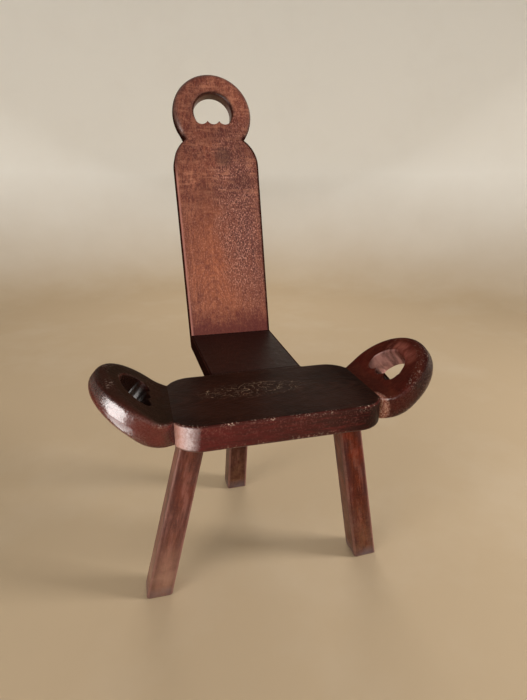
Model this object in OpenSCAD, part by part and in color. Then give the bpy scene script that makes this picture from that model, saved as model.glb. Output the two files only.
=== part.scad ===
// Low three-legged stool in thick stained hardwood, with an upswept ring handle at each end of the seat
// and a leaning plank back that ends in a ring. Millimetres, +Z up, the front looks along -Y. The origin
// is on the floor under the middle of the overall box.

/* [Seat] */
// Height of the seat's top above the floor
seat_h = 353; // [320:1:400]
// Thickness of the seat slab and of the handle blocks
seat_th = 38; // [36:1:50]
// Width of the seat from one handle joint to the other
seat_w = 292; // [270:1:360]
// Depth of the seat from its front edge to its rear edge
seat_d = 169; // [150:1:210]
// Radius of the seat's four corners, seen from above
corner_r = 40; // [24:1:50]
// Rounding of the seat's worn top edge
seat_top_round = 3; // [1:0.5:8]
// Rounding of the seat's bottom edge
seat_low_round = 5; // [1:0.5:8]

/* [Tail board] */
// Length of the tail board along its top
tail_l = 212; // [170:1:250]
// Thickness of the tail board
tail_th = 29; // [26:1:34]
// Width of the tail board where it meets the seat
tail_root_w = 152; // [140:1:170]
// Width of the tail board and of the plank back where they meet
tail_end_w = 162; // [150:1:180]
// Rounding of the tail board's long edges
tail_round = 2; // [0.5:0.5:4]

/* [Ring handles] */
// Outer radius of each handle's ring
ring_r = 76.5; // [72:0.5:82]
// Distance along the curl from the handle's joint to the centre of its ring
ring_reach = 46; // [38:0.5:56]
// Angle that the ring is tilted up by
ring_tilt = 41.5; // [20:0.5:50]
// Radius of the hollow bend on the upper face, next to the seat
bend_r = 34; // [25:1:60]
// Radius of the hand hole at mid-thickness
hand_hole_r = 40; // [36:0.5:44]
// Distance of the hand hole's centre beyond the ring's centre, towards the tip
hand_hole_off = 3; // [0:0.5:5]
// Distance from the hand hole's centre out to the row of finger scallops
hand_scallop_off = 7; // [2:0.5:10]
// Rounding of the ring's upper edge at its tip
rim_up_round = 14; // [4:0.5:16]
// Rounding of the ring's lower edge
rim_low_round = 17; // [6:0.5:20]
// Rounding of the handle's lower edge next to the seat
root_low_round = 11; // [3:0.5:14]

/* [Plank back] */
// Thickness of the plank
back_th = 28.4; // [22:0.2:34]
// Angle that the plank leans back by, from upright
back_lean = 18.4; // [8:0.1:24]
// Width of the plank at its shoulders
back_top_w = 171; // [160:1:185]
// Length of the plank from the tail board's top to where its shoulders start
shoulder_l = 338; // [280:1:350]
// Radius of the two shoulders
shoulder_r = 64; // [56:1:76]
// Distance along the plank from where its shoulders start to the centre of the ring head
neck_l = 105.5; // [96:0.5:118]
// Outer radius of the ring head
head_r = 79.5; // [74:0.5:88]
// Radius of the finger hole at mid-thickness
head_hole_r = 38; // [36:0.5:44]
// Distance from the head's centre down to the row of finger scallops
head_scallop_off = 9; // [4:0.5:14]
// Rounding of the ring head's edges
head_round = 12; // [4:0.5:14]
// Rounding of the plank's long edges
back_round = 2.5; // [1:0.5:5]

/* [Finger scallops] */
// Distance between neighbouring finger scallops
scallop_pitch = 23.5; // [21:0.5:26]
// Radius of a finger scallop at mid-thickness
scallop_r = 13.5; // [13:0.5:15]
// Rounding where a scallop meets a face
scallop_round = 2; // [0.5:0.5:4]
// Rounding where the plain arc of a hole meets a face
hole_round = 6; // [2:0.5:8]

/* [Legs] */
// Width of the square legs at the floor
leg_foot_w = 41; // [34:1:50]
// Width of the square legs under the seat
leg_top_w = 35; // [32:1:50]
// Width of the bevel on a leg's long edges
leg_bevel = 3; // [1:0.5:8]
// Sideways place of a front leg's middle under the seat
front_top_x = 115; // [95:1:116]
// Place of a front leg's middle under the seat, behind the seat's middle
front_top_y = -10; // [-20:1:0]
// Sideways place of a front leg's foot
front_foot_x = 184; // [120:1:220]
// Place of a front leg's foot, behind the seat's middle
front_foot_y = 30; // [-60:1:60]
// Place of the rear leg's middle under the tail board, behind the seat's middle
rear_top_y = 205; // [170:1:215]
// Place of the rear leg's foot, behind the seat's middle
rear_foot_y = 291; // [200:1:330]
// Diameter of the round tenon on top of each leg
tenon_d = 26; // [20:1:30]
// Wood left over the middle of a tenon's socket
socket_cover = 10; // [8:1:13]

/* [Joinery] */
// Diameter of the dowels
dowel_d = 12; // [8:1:14]
// Length of the dowels
dowel_l = 56; // [40:1:60]
// Distance of a handle's two dowels from the middle
handle_dowel_y = 36; // [34:1:40]
// Distance between the dowels of the tail board, and between the screws of the back
fixing_pitch = 50; // [36:1:56]
// Diameter of the screws' shank
screw_d = 5; // [4:0.5:6]
// Length of the screws, head included
screw_l = 60; // [45:1:70]
// Diameter of the screws' head
screw_head_d = 10; // [8:0.5:11]
// Diameter of the plugs over the screws
plug_d = 12; // [11.5:0.5:16]
// Depth of the plugs at the middle
plug_l = 9; // [6:1:12]
// Clearance all round dowels, tenons and screws
fit_gap = 0.1; // [0.05:0.05:0.3]
// Clearance past the end of dowels, tenons and screws
end_gap = 0.5; // [0.2:0.1:1]

/* [Hidden] */

// Angle over which the rounding of a hole's plain arc grows from that of its scallops
hole_fade = 40;
// Steps along a ring, along one finger scallop, through a rounded edge and across a ring's face
ring_steps = 48;
scallop_steps = 6;
chord_steps = 3 * scallop_steps;
round_steps = 4;
hole_round_steps = 3;
face_steps = 4;
// Facets of round bores and edges
round_fn = 48;
// Length by which cutters and bars run past what they cut
past = 40;

// Height of the seat's and the tail board's underside, and of the middle of each board
seat_low = seat_h - seat_th;
seat_mid = seat_h - seat_th / 2;
tail_low = seat_h - tail_th;
tail_mid = seat_h - tail_th / 2;

// Half-width of a handle at its joint
joint_half = sqrt(ring_r * ring_r - ring_reach * ring_reach);
// Rounding of a handle's upper edge next to the seat, and lengths over which both edges' rounding grows
root_up_round = seat_top_round + 1;
up_fade = ring_reach + ring_r;
low_fade = joint_half;

// Centre of a seat corner. Its arc runs from the front or rear edge to the notch beside the handle.
corner_y = seat_d / 2 - corner_r;
corner_in = max(joint_half - corner_y, 0);
corner_x = seat_w / 2 - sqrt(corner_r * corner_r - corner_in * corner_in);

// Front face of the plank where it crosses the tail board's top, and rear edge of the seat
seat_rear = seat_d / 2;
plank_y = seat_rear + tail_l;
lean_s = sin(back_lean);
lean_c = cos(back_lean);

// Centre of the ring head, and of the right shoulder. The plank's side runs to the shoulder as a tangent,
// turned out by back_turn.
head_l = shoulder_l + neck_l;
shoulder_x = back_top_w / 2 - shoulder_r;
shoulder_d = norm([tail_end_w / 2 - shoulder_x, shoulder_l]);
back_side_l = sqrt(shoulder_d * shoulder_d - shoulder_r * shoulder_r);
back_turn = asin(shoulder_r / shoulder_d) - atan2(tail_end_w / 2 - shoulder_x, shoulder_l);
// Notch where the shoulder's arc meets the ring head
notch_d = norm([shoulder_x, head_l - shoulder_l]);
notch_in = (head_r * head_r - shoulder_r * shoulder_r + notch_d * notch_d) / (2 * notch_d);
notch_out = sqrt(head_r * head_r - notch_in * notch_in);
notch_dir = [shoulder_x, shoulder_l - head_l] / notch_d;
notch = [0, head_l] + notch_in * notch_dir + notch_out * [-notch_dir[1], notch_dir[0]];
shoulder_turn = atan2(notch[1] - shoulder_l, notch[0] - shoulder_x);
// Edge rounding of the ring head, which leaves a flat rim, and length over which it grows from the notch
rim_flat = 0.8;
head_edge = min(head_round, (back_th - rim_flat) / 2);
head_fade = 14;
// Length of the head's block below its notches, and angle that each shoulder runs on into the head
head_in = 12;
shoulder_in = 10;

// Rearmost point of the ring head, and place of the overall box's middle
head_back = plank_y + (head_l + head_r - head_edge) * lean_s + (back_th - head_edge) * lean_c + head_edge;
box_y = (head_back - seat_d / 2) / 2;

// Each screw's head, point and slot, and place of the back face and the screw seat at screw height
screw_head_l = 3;
screw_point_l = 8;
screw_tip_d = 1;
slot_w = 1.4;
back_face_y = plank_y + (back_th - tail_th / 2 * lean_s) / lean_c;
screw_seat_y = back_face_y - plug_l - screw_head_l;
dowel_bevel = 1.5;

wood_dark = "#3b211c";
wood_red = "#6e3226";
wood_leg = "#5e3a33";
wood_pale = "#b58a5c";
steel = "#9a9a95";

// Straight blend of two values, and a blend factor that starts and stops gently
function mix(a, b, t) = a + (b - a) * t;
function ease(t) = let (c = min(max(t, 0), 1)) c * c * (3 - 2 * c);

// Outline of a ring block: its rim from notch to notch round the tip, then its straight chord at the
// joint, which lies along y at x = 0. Each entry is [point, way out, upper rounding, lower rounding]. The
// roundings grow from x = from onwards.
function rim_outline(r, reach, root_up, root_low, up, low, from, fade_up, fade_low) =
    let (open = acos(-reach / r), half = r * sin(open))
    concat(
        [for (i = [0 : ring_steps])
            let (a = open * (2 * i / ring_steps - 1),
                 p = [reach + r * cos(a), r * sin(a)],
                 out = i == 0 || i == ring_steps ? [0, sign(a)] : [cos(a), sin(a)])
            [p, out, mix(root_up, up, ease((p[0] - from) / fade_up)),
                mix(root_low, low, ease((p[0] - from) / fade_low))]],
        [for (j = [1 : chord_steps - 1])
            let (t = 1 - 2 * j / chord_steps)
            [[0, half * t], [0, t], root_up, root_low]]);

// Step k of the lower and of the upper rounded edge of an outline: each point moves in against its way
// out while its height follows a quarter circle
function low_edge(o, k) = let (a = 90 * k / round_steps)
    [for (p = o) [each p[0] - p[1] * p[3] * (1 - sin(a)), p[3] * (1 - cos(a))]];
function up_edge(o, th, k) = let (a = 90 * k / round_steps)
    [for (p = o) [each p[0] - p[1] * p[2] * (1 - cos(a)), th - p[2] * (1 - sin(a))]];

// Hand hole: a plain arc round [mid, 0] closed by three finger scallops on the side of the joint. Step
// k of its rounded rim widens it, where k = 0 lies in the face. Heights count from the face.
function hole_edge(r, off, mid, k) =
    let (a = 90 * k / hole_round_steps, wide = 1 - sin(a), deep = 1 - cos(a),
         rs = scallop_r + wide * scallop_round,
         re = r + wide * scallop_round,
         d = norm([off, scallop_pitch]),
         open = atan2(scallop_pitch, off) + acos(min(1, (re * re + d * d - rs * rs) / (2 * re * d))),
         first = atan2(re * sin(open) - scallop_pitch, re * cos(open) - off),
         cusp = asin(scallop_pitch / 2 / rs))
    concat(
        [for (i = [0 : ring_steps])
            let (b = open * (2 * i / ring_steps - 1),
                 edge = mix(scallop_round, hole_round, ease((open - abs(b)) / hole_fade)))
            [mid + (r + wide * edge) * cos(b), (r + wide * edge) * sin(b), deep * edge]],
        [for (side = [1, 0, -1], j = [1 : scallop_steps]) if (side > -1 || j < scallop_steps)
            let (from = side == 1 ? first : 180 - cusp,
                 to = side == -1 ? 360 - first : 180 + cusp,
                 b = mix(from, to, j / scallop_steps))
            [mid + off + rs * cos(b), side * scallop_pitch + rs * sin(b), deep * scallop_round]]);
function hole_up(th, e) = [for (p = e) [p[0], p[1], th - p[2]]];

// Rings of points that wrap once round a ring block's section: lower edge, upper edge, upper face, hole
// and lower face
function ring_block(o, th, hole_r, off, mid) =
    let (edges = [for (k = [0 : hole_round_steps]) hole_edge(hole_r, off, mid, k)],
         up_rim = up_edge(o, th, round_steps),
         low_rim = low_edge(o, 0),
         up_hole = hole_up(th, edges[0]))
    concat(
        [for (k = [0 : round_steps]) low_edge(o, k)],
        [for (k = [0 : round_steps]) up_edge(o, th, k)],
        [for (k = [1 : face_steps - 1]) mix(up_rim, up_hole, k / face_steps)],
        [for (k = [0 : hole_round_steps]) hole_up(th, edges[k])],
        [for (k = [0 : hole_round_steps]) edges[hole_round_steps - k]],
        [for (k = [1 : face_steps - 1]) mix(edges[0], low_rim, k / face_steps)]);

// Solid between rings of points that close on themselves both ways
module ring_solid(rings) {
    n = len(rings[0]);
    m = len(rings);
    polyhedron([for (r = rings) each r],
        [for (k = [0 : m - 1], i = [0 : n - 1])
            let (a = k * n + i, b = k * n + (i + 1) % n,
                 c = (k + 1) % m * n + (i + 1) % n, d = (k + 1) % m * n + i)
            each [[a, c, b], [a, d, c]]]);
}

// Curl of a handle: x runs along the block's middle layer, flat up to the joint, round the bend and then
// straight up the tilt
bend_mid = bend_r + seat_th / 2;
bend_l = bend_mid * ring_tilt * PI / 180;
function curl(p) =
    let (a = min(max(p[0], 0), bend_l) / bend_l * ring_tilt,
         on = max(p[0] - bend_l, 0),
         r = bend_r + seat_th - p[2])
    [r * sin(a) + on * cos(a), p[1], bend_r + seat_th - r * cos(a) + on * sin(a)];

// Rounded strip for boards, with its outer edge at x = 0, its body towards -x and its faces at y = 0
// and y = th
module edge_section(w, th, low, up) {
    translate([-w, 0]) square([w - max(low, up), th]);
    translate([-max(low, up), low]) square([max(low, up), th - low - up]);
    translate([-max(low, up) - 1, 0]) square([max(low, up) - low + 1, th / 2]);
    translate([-max(low, up) - 1, th / 2]) square([max(low, up) - up + 1, th / 2]);
    translate([-low, low]) circle(low, $fn = round_fn);
    translate([-up, th - up]) circle(up, $fn = round_fn);
}

// Section of a board from its edge at x = r back to x = 0, and sector of a board's rounded corner that
// turns it from the x axis about the origin
module corner_section(r, th, low, up) intersection() {
    translate([r, 0]) edge_section(r + past, th, low, up);
    square([r, th]);
}
module corner_sector(r, turn, th, low, up)
    rotate_extrude(angle = turn, $fn = 4 * round_fn) corner_section(r, th, low, up);

// Moves what is built round the seat's middle onto the origin of the whole stool
module place() translate([0, -box_y, 0]) children();

// Frame of the plank: x across, y up along the plank, z from its back face to its front face
module in_plank() translate([0, plank_y, seat_h]) rotate([90 - back_lean, 0, 0])
    translate([0, 0, -back_th]) children();

// Dowel with bevelled ends, half on each side of a joint, or with gap > 0 its bore
module dowel(gap) {
    l = dowel_l / 2;
    r = dowel_d / 2;
    b = dowel_bevel;
    if (gap > 0)
        cylinder(h = dowel_l + 2 * end_gap, r = r + gap, center = true, $fn = round_fn);
    else
        rotate_extrude($fn = round_fn)
            polygon([[0, -l], [r - b, -l], [r, -l + b], [r, l - b], [r - b, l], [0, l]]);
}
module handle_dowels(gap) for (side = [-1, 1])
    translate([seat_w / 2, side * handle_dowel_y, seat_mid]) rotate([0, 90, 0]) dowel(gap);
module tail_dowel_row(gap) for (k = [-1, 0, 1])
    translate([k * fixing_pitch, seat_rear, tail_mid]) rotate([90, 0, 0]) dowel(gap);

// Axis of a leg from its foot on the floor to its middle at the underside of the board over it
module leg_axis(top, foot, under) {
    v = [top[0] - foot[0], top[1] - foot[1], under];
    translate([foot[0], foot[1], 0]) rotate([-asin(v[1] / norm(v)), atan2(v[0], v[2]), 0]) children();
}
// Round tenon of a leg, or with gap > 0 its socket. Its length leaves the cover over it.
module tenon(top, foot, under, th, gap) {
    l = norm([top[0] - foot[0], top[1] - foot[1], under]);
    deep = (th - socket_cover) * l / under;
    leg_axis(top, foot, under) translate([0, 0, l - leg_top_w / 2])
        cylinder(h = leg_top_w / 2 + deep + (gap > 0 ? end_gap : 0), d = tenon_d + 2 * gap, $fn = round_fn);
}
// Square tapered leg with bevelled edges, cut level at the floor and at the board's underside
module leg(top, foot, under, th) {
    l = norm([top[0] - foot[0], top[1] - foot[1], under]);
    taper = (leg_foot_w - leg_top_w) / l * past;
    w = (leg_foot_w + taper) / 2;
    b = w - leg_bevel;
    reach = abs(foot[0]) + abs(foot[1]) + past;
    intersection() {
        leg_axis(top, foot, under) translate([0, 0, -past])
            linear_extrude(l + 2 * past, scale = (leg_top_w - taper) / (leg_foot_w + taper))
            polygon([[w, b], [b, w], [-b, w], [-w, b], [-w, -b], [-b, -w], [b, -w], [w, -b]]);
        translate([-reach, -reach, 0]) cube([2 * reach, 2 * reach, under]);
    }
    tenon(top, foot, under, th, 0);
}
front_top = [front_top_x, front_top_y];
front_foot = [front_foot_x, front_foot_y];
rear_top = [0, rear_top_y];
rear_foot = [0, rear_foot_y];

// Screws of the back, their pilot bores and the counterbores for heads and plugs
module at_screws() for (k = [-1, 0, 1])
    translate([k * fixing_pitch, screw_seat_y, tail_mid]) rotate([90, 0, 0]) children();
module pilot() cylinder(h = screw_l - screw_head_l + end_gap, d = screw_d + 2 * fit_gap, $fn = round_fn);
module counterbore() translate([0, 0, -past]) cylinder(h = past, d = plug_d, $fn = round_fn);

// Slab with rounded corners and edges: middle, front and rear strips and four corner sectors, which end
// at the planes of the handle joints
module seat_slab() {
    translate([-seat_w / 2, -corner_y, 0]) cube([seat_w, 2 * corner_y, seat_th]);
    for (x = [0, 1], y = [0, 1]) mirror([x, 0, 0]) mirror([0, y, 0]) intersection() {
        translate([corner_x, corner_y, 0])
            corner_sector(corner_r, 90, seat_th, seat_low_round, seat_top_round);
        translate([0, 0, -past]) cube([seat_w / 2, seat_d, seat_th + 2 * past]);
    }
    seat_strip(-corner_x, corner_x, -1);
    seat_strip(-corner_x, -tail_root_w / 2, 1);
    seat_strip(tail_root_w / 2, corner_x, 1);
    translate([-tail_root_w / 2, corner_y, 0]) cube([tail_root_w, corner_r, seat_th]);
}
// Rounded strip along the front edge (side -1) or the rear edge (side 1), from one x to another
module seat_strip(from, to, side) mirror([0, side < 0 ? 1 : 0, 0])
    translate([from, seat_rear, 0]) rotate([90, 0, 90]) linear_extrude(to - from) intersection() {
        edge_section(corner_r + past, seat_th, seat_low_round, seat_top_round);
        translate([-corner_r, 0]) square([corner_r, seat_th]);
    }

module seat_board() place() color(wood_dark) difference() {
    translate([0, 0, seat_low]) seat_slab();
    for (side = [0, 1]) mirror([side, 0, 0]) {
        tenon(front_top, front_foot, seat_low, seat_th, fit_gap);
        handle_dowels(fit_gap);
    }
    tail_dowel_row(fit_gap);
}

module tail_board() place() color(wood_dark) difference() {
    for (side = [0, 1]) mirror([side, 0, 0]) intersection() {
        translate([tail_root_w / 2, seat_rear, tail_low])
            rotate([0, 0, -atan((tail_end_w - tail_root_w) / 2 / tail_l)]) rotate([90, 0, 0])
            translate([0, 0, -tail_l - past]) linear_extrude(tail_l + 2 * past)
            edge_section(tail_root_w, tail_th, tail_round, tail_round);
        translate([0, seat_rear, 0]) cube([tail_end_w, tail_l + past, seat_h + past]);
    }
    in_plank() translate([-tail_end_w, -2 * past, -3 * past])
        cube([2 * tail_end_w, 4 * past, back_th + 3 * past]);
    tenon(rear_top, rear_foot, tail_low, tail_th, fit_gap);
    tail_dowel_row(fit_gap);
    at_screws() pilot();
}

module handle_block() color(wood_red) difference() {
    translate([seat_w / 2, 0, seat_low]) ring_solid([for (ring = ring_block(
        rim_outline(ring_r, ring_reach, root_up_round, root_low_round, rim_up_round, rim_low_round,
                    0, up_fade, low_fade),
        seat_th, hand_hole_r, hand_scallop_off, ring_reach + hand_hole_off)) [for (p = ring) curl(p)]]);
    handle_dowels(fit_gap);
}
module right_handle() place() handle_block();
module left_handle() place() mirror([1, 0, 0]) handle_block();

// The plank up into its ring head. Its sides, each with the round shoulder that ends it, and its middle
// reach into each other and into the head's block. Its foot is cut level with the tail's underside.
module plank() difference() {
    plank_blank();
    translate([0, -tail_th / lean_c, back_th]) rotate([back_lean, 0, 0])
        translate([-tail_end_w, -3 * past, -3 * past]) cube([2 * tail_end_w, 3 * past, 6 * past]);
}
module plank_blank() {
    drop = tail_th + back_th;
    in = shoulder_r - 2 * back_round;
    top = [shoulder_x, shoulder_l] + in * [cos(shoulder_turn), sin(shoulder_turn)];
    for (side = [0, 1]) mirror([side, 0, 0])
        translate([shoulder_x, shoulder_l, 0]) rotate([0, 0, -back_turn]) {
            corner_sector(shoulder_r, back_turn + shoulder_turn + shoulder_in, back_th, back_round, back_round);
            rotate([90, 0, 0]) linear_extrude(back_side_l + drop + past)
                corner_section(shoulder_r, back_th, back_round, back_round);
        }
    translate([-top[0], -drop, 0]) cube([2 * top[0], top[1] + drop, back_th]);
}
module ring_head() {
    reach = head_l - notch[1] + head_in;
    translate([0, head_l - reach, 0]) rotate([0, 0, 90]) ring_solid(ring_block(
        rim_outline(head_r, reach, back_round, back_round, head_edge, head_edge,
                    head_in, head_fade, head_fade),
        back_th, head_hole_r, -head_scallop_off, reach));
}
module backrest() place() color(wood_red) difference() {
    in_plank() {
        plank();
        ring_head();
    }
    at_screws() {
        pilot();
        counterbore();
    }
}

module front_right_leg() place() color(wood_leg) leg(front_top, front_foot, seat_low, seat_th);
module front_left_leg() place() mirror([1, 0, 0])
    color(wood_leg) leg(front_top, front_foot, seat_low, seat_th);
module rear_leg() place() color(wood_leg) leg(rear_top, rear_foot, tail_low, tail_th);

module right_handle_dowels() place() color(wood_pale) handle_dowels(0);
module left_handle_dowels() place() mirror([1, 0, 0]) color(wood_pale) handle_dowels(0);
module tail_dowels() place() color(wood_pale) tail_dowel_row(0);

module backrest_screws() place() color(steel) at_screws() difference() {
    union() {
        translate([0, 0, -screw_head_l]) cylinder(h = screw_head_l, d = screw_head_d, $fn = round_fn);
        cylinder(h = screw_l - screw_head_l - screw_point_l, d = screw_d, $fn = round_fn);
        translate([0, 0, screw_l - screw_head_l - screw_point_l])
            cylinder(h = screw_point_l, d1 = screw_d, d2 = screw_tip_d, $fn = round_fn);
    }
    translate([-screw_head_d, -slot_w / 2, -screw_head_l - 1])
        cube([2 * screw_head_d, slot_w, screw_head_l / 2 + 1]);
}
module backrest_plugs() place() color(wood_red) difference() {
    at_screws() translate([0, 0, -past]) cylinder(h = past - screw_head_l, d = plug_d, $fn = round_fn);
    in_plank() translate([-tail_end_w, -3 * past, -3 * past]) cube([2 * tail_end_w, 4 * past, 3 * past]);
}

seat_board();
tail_board();
left_handle();
right_handle();
backrest();
front_left_leg();
front_right_leg();
rear_leg();
left_handle_dowels();
right_handle_dowels();
tail_dowels();
backrest_screws();
backrest_plugs();
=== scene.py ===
# %% [markdown]
# # A three-legged birthing-chair stool
#
# The real object is a low wooden stool. A thick seat carries a carved ring handle at each end, a narrower
# tail board runs back from it, and a plank that leans back ends in a ring for carrying. Three splayed
# legs stand in sockets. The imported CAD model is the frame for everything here: same metres, same origin
# on the floor, +Z up, and the sitter faces -Y. Every visible board is built again as a fine numpy surface
# with soft worn edges, because the CAD surfaces are cut into large facets that a glossy stain would show.

# %% Load the frame
import bmesh
import bpy
import numpy as np
from functools import reduce
from math import acos, asin, atan2, cos, hypot, pi, radians, sin, sqrt, tan
from mathutils import Matrix, Vector
from typing import NamedTuple


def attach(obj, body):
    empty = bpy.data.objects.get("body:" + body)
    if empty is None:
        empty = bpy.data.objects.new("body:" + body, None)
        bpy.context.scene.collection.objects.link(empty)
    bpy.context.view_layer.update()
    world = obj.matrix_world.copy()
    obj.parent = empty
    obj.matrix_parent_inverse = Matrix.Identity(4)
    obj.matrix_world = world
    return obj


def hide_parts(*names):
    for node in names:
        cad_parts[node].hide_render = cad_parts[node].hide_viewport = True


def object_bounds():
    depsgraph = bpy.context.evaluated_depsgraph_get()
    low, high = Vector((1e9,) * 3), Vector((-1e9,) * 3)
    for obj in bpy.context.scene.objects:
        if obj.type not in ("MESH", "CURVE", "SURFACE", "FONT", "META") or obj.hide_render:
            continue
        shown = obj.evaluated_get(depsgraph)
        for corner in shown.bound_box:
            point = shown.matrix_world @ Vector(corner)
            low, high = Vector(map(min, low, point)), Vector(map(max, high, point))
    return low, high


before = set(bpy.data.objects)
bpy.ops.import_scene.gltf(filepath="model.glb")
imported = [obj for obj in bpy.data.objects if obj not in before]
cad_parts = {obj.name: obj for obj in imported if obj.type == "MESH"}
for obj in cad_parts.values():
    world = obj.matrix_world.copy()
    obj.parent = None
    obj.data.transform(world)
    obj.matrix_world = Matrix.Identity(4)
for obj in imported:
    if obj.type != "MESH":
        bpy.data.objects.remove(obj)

cad_low, cad_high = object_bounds()
print("CAD box", [round(v, 4) for v in cad_low], [round(v, 4) for v in cad_high])

# %% [markdown]
# ## Sizes of the real boards
#
# These are the CAD model's sizes in metres, and below them the rounding of the worn edges. The legs'
# places are given from the seat's middle, which is half its depth behind the front of the overall box.

# %% Sizes
seat_h, seat_th, seat_w, seat_d, corner_r = 0.353, 0.038, 0.292, 0.169, 0.040
tail_l, tail_th, tail_root_w, tail_end_w = 0.212, 0.029, 0.152, 0.162
ring_r, ring_reach, ring_tilt, bend_r = 0.0765, 0.046, radians(41.5), 0.034
hand_hole_r, hand_hole_off, hand_scallop_off = 0.040, 0.003, 0.007
back_th, back_lean, back_top_w = 0.0284, radians(18.4), 0.171
shoulder_l, shoulder_r, neck_l = 0.338, 0.064, 0.1055
head_r, head_hole_r, head_scallop_off = 0.0795, 0.038, 0.009
scallop_pitch, scallop_r, scallop_round, hole_round = 0.0235, 0.0135, 0.002, 0.006
leg_foot_w, leg_top_w, leg_round, tenon_d, socket_cover = 0.041, 0.035, 0.0045, 0.026, 0.010
front_top, front_foot, rear_top, rear_foot = (0.115, -0.010), (0.184, 0.030), (0.0, 0.205), (0.0, 0.291)
plug_r, plug_pitch, plug_proud, plug_deep, glue_line = 0.006, 0.05, 0.00025, 0.007, 0.0003
seat_up_r, seat_low_r, tail_edge_r, plank_edge_r = 0.003, 0.005, 0.002, 0.0025
handle_up_r, handle_low_r, head_tip_r = (0.004, 0.014), (0.011, 0.017), 0.012

seat_mid_y = cad_low[1] + seat_d / 2
seat_low, tail_low = seat_h - seat_th, seat_h - tail_th
plank_y = seat_mid_y + seat_d / 2 + tail_l
joint_half = sqrt(ring_r ** 2 - ring_reach ** 2)
print("seat middle at y", round(seat_mid_y, 4), "plank meets the tail at y", round(plank_y, 4))

# %% [markdown]
# ## Sheets of points
#
# Every board is a few rectangular sheets of points: its faces, the rounded band round its edge and its
# end grain. Boxes with a Bevel modifier would be quicker, but their points wouldn't know which way the
# grain runs or where hands rub. So one index grid gives all faces of a sheet at once, and sheets that
# share an edge are sewn by merging points that lie on each other. Each point carries what the stain
# needs: its place in the straight board (along, across and through the grain), how much it is rubbed,
# from 0 in the middle of a face to 1 on an arris, and how near it is to the board's rim, where the stain
# is darker.

# %% Turn sheets into one closed piece
class Sheet(NamedTuple):
    """Points, their place in the straight board, rubbing and rim shares, and whether columns close up."""
    at: np.ndarray
    grain: np.ndarray
    wear: np.ndarray
    rim: np.ndarray
    wrap: bool = False


def flat_sheet(points, wear=0.0, rim=0.0, wrap=False):
    """A sheet whose place in the straight board is where its points are now."""
    shape = points.shape[:2]
    return Sheet(points, points.copy(), np.broadcast_to(wear, shape), np.broadcast_to(rim, shape), wrap)


def moved(sheets, place):
    """The sheets with place, a function of all points, applied. Their grain stays behind."""
    return [sheet._replace(at=place(sheet.at)) for sheet in sheets]


def make_piece(name, sheets, crease=38):
    """Sews sheets into one closed mesh with faces outwards, smooth but for creases sharper than an angle in
    degrees."""
    faces, first = [], 0
    for sheet in sheets:
        index = first + np.arange(sheet.wear.size).reshape(sheet.wear.shape)
        first += index.size
        if sheet.wrap:
            index = np.hstack([index, index[:, :1]])
        corners = index[:-1, :-1], index[1:, :-1], index[1:, 1:], index[:-1, 1:]
        faces += np.stack(corners, -1).reshape(-1, 4).tolist()
    marks = [np.stack([sheet.wear, sheet.rim, 0 * sheet.rim], -1) for sheet in sheets]
    at, grain, marks = (np.concatenate([part.reshape(-1, 3) for part in parts]) for parts in
                        ([sheet.at for sheet in sheets], [sheet.grain for sheet in sheets], marks))
    mesh = bpy.data.meshes.new(name)
    mesh.from_pydata(at, [], faces)
    for key, values in (("grain", grain), ("paint", marks)):
        layer = mesh.attributes.new(key, "FLOAT_VECTOR", "POINT")
        layer.data.foreach_set("vector", values.astype(np.float32).ravel())
    sewn = bmesh.new()
    sewn.from_mesh(mesh)
    bmesh.ops.remove_doubles(sewn, verts=sewn.verts, dist=3e-6)
    bmesh.ops.recalc_face_normals(sewn, faces=sewn.faces)
    open_edges = sum(not edge.is_manifold for edge in sewn.edges)
    sewn.to_mesh(mesh)
    sewn.free()
    mesh.shade_smooth()
    mesh.set_sharp_from_angle(angle=radians(crease))
    piece = bpy.data.objects.new(name, mesh)
    bpy.context.collection.objects.link(piece)
    print(name, len(mesh.vertices), "points,", open_edges, "open edges")
    return piece


def blend(a, b, t):
    """Straight mix of a and b."""
    return a + (b - a) * t


def ease(t):
    """Goes from 0 to 1 and starts and stops gently: 3 t squared minus 2 t cubed."""
    c = np.clip(t, 0, 1)
    return c * c * (3 - 2 * c)

# %% [markdown]
# ## Edge of a board
#
# A worn edge is a quarter round above, a flat side and a quarter round below. A Bevel modifier has one
# width for all of it, and here the rounds grow along the edge, so the profile is worked out as how far
# each step lies in from the outline and how high it is. Wear follows it: highest in the middle of each
# quarter round, and only where the round is small enough to be an arris. The dark rim stain covers the
# side and fades over a wide round.

# %% Edge profile
ROUND_STEPS = 7


def edge_profile(low, up, th):
    """Profile of a board's edge, low and up are arrays of rounding radii along it. On a quarter round the
    inset is the radius times 1 less the sine and the height the radius times 1 less the cosine of the
    turn. Gives (inset, height, wear, rim), one row per step from the lower face up to the upper."""
    turn = np.linspace(0, pi / 2, ROUND_STEPS + 1)[:, None]
    side = np.linspace(0, 1, 6)[1:-1, None]
    inset = np.vstack([low * (1 - np.sin(turn)), 0 * side * low, up * (1 - np.cos(turn))])
    height = np.vstack([low * (1 - np.cos(turn)), blend(low, th - up, side), th - up * (1 - np.sin(turn))])
    rubbed_and_highlight = [0.25 + 0.75 * np.sin(2 * turn) * np.minimum(1, 0.005 / np.maximum(r, 1e-4))
              for r in (low, up)]
    wide = [1 - ease(t) ** 2 * np.clip((r - 0.003) / 0.007, 0, 1)
            for t, r in ((np.cos(turn), low), (np.sin(turn), up))]
    return (inset, height, np.vstack([rubbed_and_highlight[0], 0 * side * low, rubbed_and_highlight[1]]),
            np.vstack([wide[0], 0 * side * low + 1, wide[1]]))

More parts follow.
